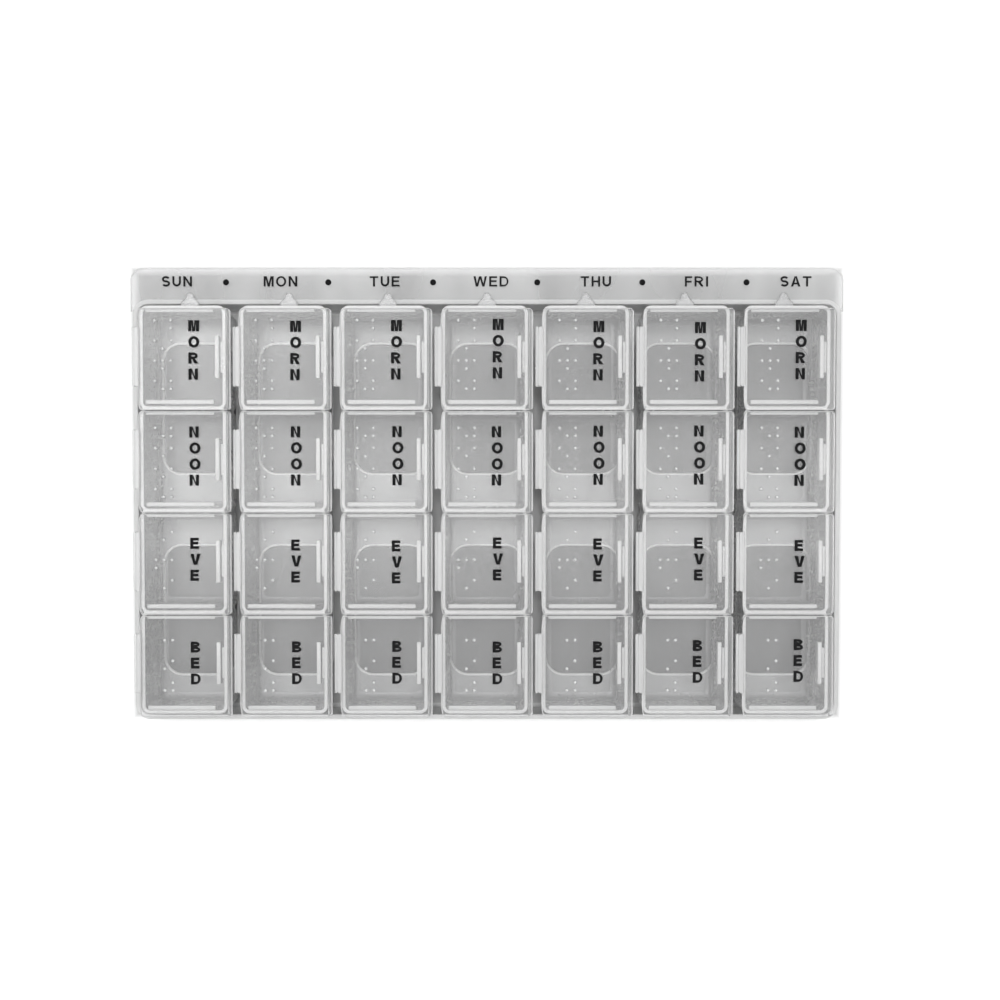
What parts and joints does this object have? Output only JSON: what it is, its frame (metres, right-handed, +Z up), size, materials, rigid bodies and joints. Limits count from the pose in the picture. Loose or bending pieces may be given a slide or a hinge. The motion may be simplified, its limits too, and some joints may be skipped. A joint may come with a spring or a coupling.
{
  "type": "pill organizer",
  "caption": "Weekly pill organizer: shallow tray with a lettered header, removable day strips of lidded cups, hinged lids with thumb lips and raised dots, milky clear plastic.",
  "frame": {"origin": "centre of the footprint on the surface that the tray stands on", "axes": "+Z up, +X along the week from Sunday to Saturday, +Y towards the header with the day names"},
  "size_m": [0.224, 0.1424, 0.0225],
  "materials": {
    "tray_plastic": "milky translucent polypropylene, satin",
    "strip_plastic": "milky translucent polypropylene, gloss",
    "lid_plastic": "milky translucent polypropylene, gloss",
    "print_ink": "black pad print, thin satin ink"
  },
  "bodies": {
    "tray": {"tray": "tray_plastic"},
    "strip_sun": {"strip_sun": "strip_plastic"},
    "strip_mon": {"strip_mon": "strip_plastic"},
    "strip_tue": {"strip_tue": "strip_plastic"},
    "strip_wed": {"strip_wed": "strip_plastic"},
    "strip_thu": {"strip_thu": "strip_plastic"},
    "strip_fri": {"strip_fri": "strip_plastic"},
    "strip_sat": {"strip_sat": "strip_plastic"},
    "lid_sun_morn": {"lid_sun_morn": "lid_plastic"},
    "lid_sun_noon": {"lid_sun_noon": "lid_plastic"},
    "lid_sun_eve": {"lid_sun_eve": "lid_plastic"},
    "lid_sun_bed": {"lid_sun_bed": "lid_plastic"},
    "lid_mon_morn": {"lid_mon_morn": "lid_plastic"},
    "lid_mon_noon": {"lid_mon_noon": "lid_plastic"},
    "lid_mon_eve": {"lid_mon_eve": "lid_plastic"},
    "lid_mon_bed": {"lid_mon_bed": "lid_plastic"},
    "lid_tue_morn": {"lid_tue_morn": "lid_plastic"},
    "lid_tue_noon": {"lid_tue_noon": "lid_plastic"},
    "lid_tue_eve": {"lid_tue_eve": "lid_plastic"},
    "lid_tue_bed": {"lid_tue_bed": "lid_plastic"},
    "lid_wed_morn": {"lid_wed_morn": "lid_plastic"},
    "lid_wed_noon": {"lid_wed_noon": "lid_plastic"},
    "lid_wed_eve": {"lid_wed_eve": "lid_plastic"},
    "lid_wed_bed": {"lid_wed_bed": "lid_plastic"},
    "lid_thu_morn": {"lid_thu_morn": "lid_plastic"},
    "lid_thu_noon": {"lid_thu_noon": "lid_plastic"},
    "lid_thu_eve": {"lid_thu_eve": "lid_plastic"},
    "lid_thu_bed": {"lid_thu_bed": "lid_plastic"},
    "lid_fri_morn": {"lid_fri_morn": "lid_plastic"},
    "lid_fri_noon": {"lid_fri_noon": "lid_plastic"},
    "lid_fri_eve": {"lid_fri_eve": "lid_plastic"},
    "lid_fri_bed": {"lid_fri_bed": "lid_plastic"},
    "lid_sat_morn": {"lid_sat_morn": "lid_plastic"},
    "lid_sat_noon": {"lid_sat_noon": "lid_plastic"},
    "lid_sat_eve": {"lid_sat_eve": "lid_plastic"},
    "lid_sat_bed": {"lid_sat_bed": "lid_plastic"}
  },
  "joints": [
    {"name": "lift_sun", "type": "slide", "parent": "tray", "child": "strip_sun", "axis": [0, 0, 1], "range_m": [0, 0.03]},
    {"name": "lift_mon", "type": "slide", "parent": "tray", "child": "strip_mon", "axis": [0, 0, 1], "range_m": [0, 0.03]},
    {"name": "lift_tue", "type": "slide", "parent": "tray", "child": "strip_tue", "axis": [0, 0, 1], "range_m": [0, 0.03]},
    {"name": "lift_wed", "type": "slide", "parent": "tray", "child": "strip_wed", "axis": [0, 0, 1], "range_m": [0, 0.03]},
    {"name": "lift_thu", "type": "slide", "parent": "tray", "child": "strip_thu", "axis": [0, 0, 1], "range_m": [0, 0.03]},
    {"name": "lift_fri", "type": "slide", "parent": "tray", "child": "strip_fri", "axis": [0, 0, 1], "range_m": [0, 0.03]},
    {"name": "lift_sat", "type": "slide", "parent": "tray", "child": "strip_sat", "axis": [0, 0, 1], "range_m": [0, 0.03]},
    {"name": "open_sun_morn", "type": "hinge", "parent": "strip_sun", "child": "lid_sun_morn", "pos_m": [-0.1082, 0.04235, 0.0215], "axis": [0, -1, 0], "range_deg": [0, 110]},
    {"name": "open_sun_noon", "type": "hinge", "parent": "strip_sun", "child": "lid_sun_noon", "pos_m": [-0.1082, 0.01085, 0.0215], "axis": [0, -1, 0], "range_deg": [0, 110]},
    {"name": "open_sun_eve", "type": "hinge", "parent": "strip_sun", "child": "lid_sun_eve", "pos_m": [-0.1082, -0.02065, 0.0215], "axis": [0, -1, 0], "range_deg": [0, 110]},
    {"name": "open_sun_bed", "type": "hinge", "parent": "strip_sun", "child": "lid_sun_bed", "pos_m": [-0.1082, -0.05215, 0.0215], "axis": [0, -1, 0], "range_deg": [0, 110]},
    {"name": "open_mon_morn", "type": "hinge", "parent": "strip_mon", "child": "lid_mon_morn", "pos_m": [-0.0772, 0.04235, 0.0215], "axis": [0, -1, 0], "range_deg": [0, 110]},
    {"name": "open_mon_noon", "type": "hinge", "parent": "strip_mon", "child": "lid_mon_noon", "pos_m": [-0.0772, 0.01085, 0.0215], "axis": [0, -1, 0], "range_deg": [0, 110]},
    {"name": "open_mon_eve", "type": "hinge", "parent": "strip_mon", "child": "lid_mon_eve", "pos_m": [-0.0772, -0.02065, 0.0215], "axis": [0, -1, 0], "range_deg": [0, 110]},
    {"name": "open_mon_bed", "type": "hinge", "parent": "strip_mon", "child": "lid_mon_bed", "pos_m": [-0.0772, -0.05215, 0.0215], "axis": [0, -1, 0], "range_deg": [0, 110]},
    {"name": "open_tue_morn", "type": "hinge", "parent": "strip_tue", "child": "lid_tue_morn", "pos_m": [-0.0462, 0.04235, 0.0215], "axis": [0, -1, 0], "range_deg": [0, 110]},
    {"name": "open_tue_noon", "type": "hinge", "parent": "strip_tue", "child": "lid_tue_noon", "pos_m": [-0.0462, 0.01085, 0.0215], "axis": [0, -1, 0], "range_deg": [0, 110]},
    {"name": "open_tue_eve", "type": "hinge", "parent": "strip_tue", "child": "lid_tue_eve", "pos_m": [-0.0462, -0.02065, 0.0215], "axis": [0, -1, 0], "range_deg": [0, 110]},
    {"name": "open_tue_bed", "type": "hinge", "parent": "strip_tue", "child": "lid_tue_bed", "pos_m": [-0.0462, -0.05215, 0.0215], "axis": [0, -1, 0], "range_deg": [0, 110]},
    {"name": "open_wed_morn", "type": "hinge", "parent": "strip_wed", "child": "lid_wed_morn", "pos_m": [-0.0152, 0.04235, 0.0215], "axis": [0, -1, 0], "range_deg": [0, 110]},
    {"name": "open_wed_noon", "type": "hinge", "parent": "strip_wed", "child": "lid_wed_noon", "pos_m": [-0.0152, 0.01085, 0.0215], "axis": [0, -1, 0], "range_deg": [0, 110]},
    {"name": "open_wed_eve", "type": "hinge", "parent": "strip_wed", "child": "lid_wed_eve", "pos_m": [-0.0152, -0.02065, 0.0215], "axis": [0, -1, 0], "range_deg": [0, 110]},
    {"name": "open_wed_bed", "type": "hinge", "parent": "strip_wed", "child": "lid_wed_bed", "pos_m": [-0.0152, -0.05215, 0.0215], "axis": [0, -1, 0], "range_deg": [0, 110]},
    {"name": "open_thu_morn", "type": "hinge", "parent": "strip_thu", "child": "lid_thu_morn", "pos_m": [0.0158, 0.04235, 0.0215], "axis": [0, -1, 0], "range_deg": [0, 110]},
    {"name": "open_thu_noon", "type": "hinge", "parent": "strip_thu", "child": "lid_thu_noon", "pos_m": [0.0158, 0.01085, 0.0215], "axis": [0, -1, 0], "range_deg": [0, 110]},
    {"name": "open_thu_eve", "type": "hinge", "parent": "strip_thu", "child": "lid_thu_eve", "pos_m": [0.0158, -0.02065, 0.0215], "axis": [0, -1, 0], "range_deg": [0, 110]},
    {"name": "open_thu_bed", "type": "hinge", "parent": "strip_thu", "child": "lid_thu_bed", "pos_m": [0.0158, -0.05215, 0.0215], "axis": [0, -1, 0], "range_deg": [0, 110]},
    {"name": "open_fri_morn", "type": "hinge", "parent": "strip_fri", "child": "lid_fri_morn", "pos_m": [0.0468, 0.04235, 0.0215], "axis": [0, -1, 0], "range_deg": [0, 110]},
    {"name": "open_fri_noon", "type": "hinge", "parent": "strip_fri", "child": "lid_fri_noon", "pos_m": [0.0468, 0.01085, 0.0215], "axis": [0, -1, 0], "range_deg": [0, 110]},
    {"name": "open_fri_eve", "type": "hinge", "parent": "strip_fri", "child": "lid_fri_eve", "pos_m": [0.0468, -0.02065, 0.0215], "axis": [0, -1, 0], "range_deg": [0, 110]},
    {"name": "open_fri_bed", "type": "hinge", "parent": "strip_fri", "child": "lid_fri_bed", "pos_m": [0.0468, -0.05215, 0.0215], "axis": [0, -1, 0], "range_deg": [0, 110]},
    {"name": "open_sat_morn", "type": "hinge", "parent": "strip_sat", "child": "lid_sat_morn", "pos_m": [0.0778, 0.04235, 0.0215], "axis": [0, -1, 0], "range_deg": [0, 110]},
    {"name": "open_sat_noon", "type": "hinge", "parent": "strip_sat", "child": "lid_sat_noon", "pos_m": [0.0778, 0.01085, 0.0215], "axis": [0, -1, 0], "range_deg": [0, 110]},
    {"name": "open_sat_eve", "type": "hinge", "parent": "strip_sat", "child": "lid_sat_eve", "pos_m": [0.0778, -0.02065, 0.0215], "axis": [0, -1, 0], "range_deg": [0, 110]},
    {"name": "open_sat_bed", "type": "hinge", "parent": "strip_sat", "child": "lid_sat_bed", "pos_m": [0.0778, -0.05215, 0.0215], "axis": [0, -1, 0], "range_deg": [0, 110]}
  ]
}
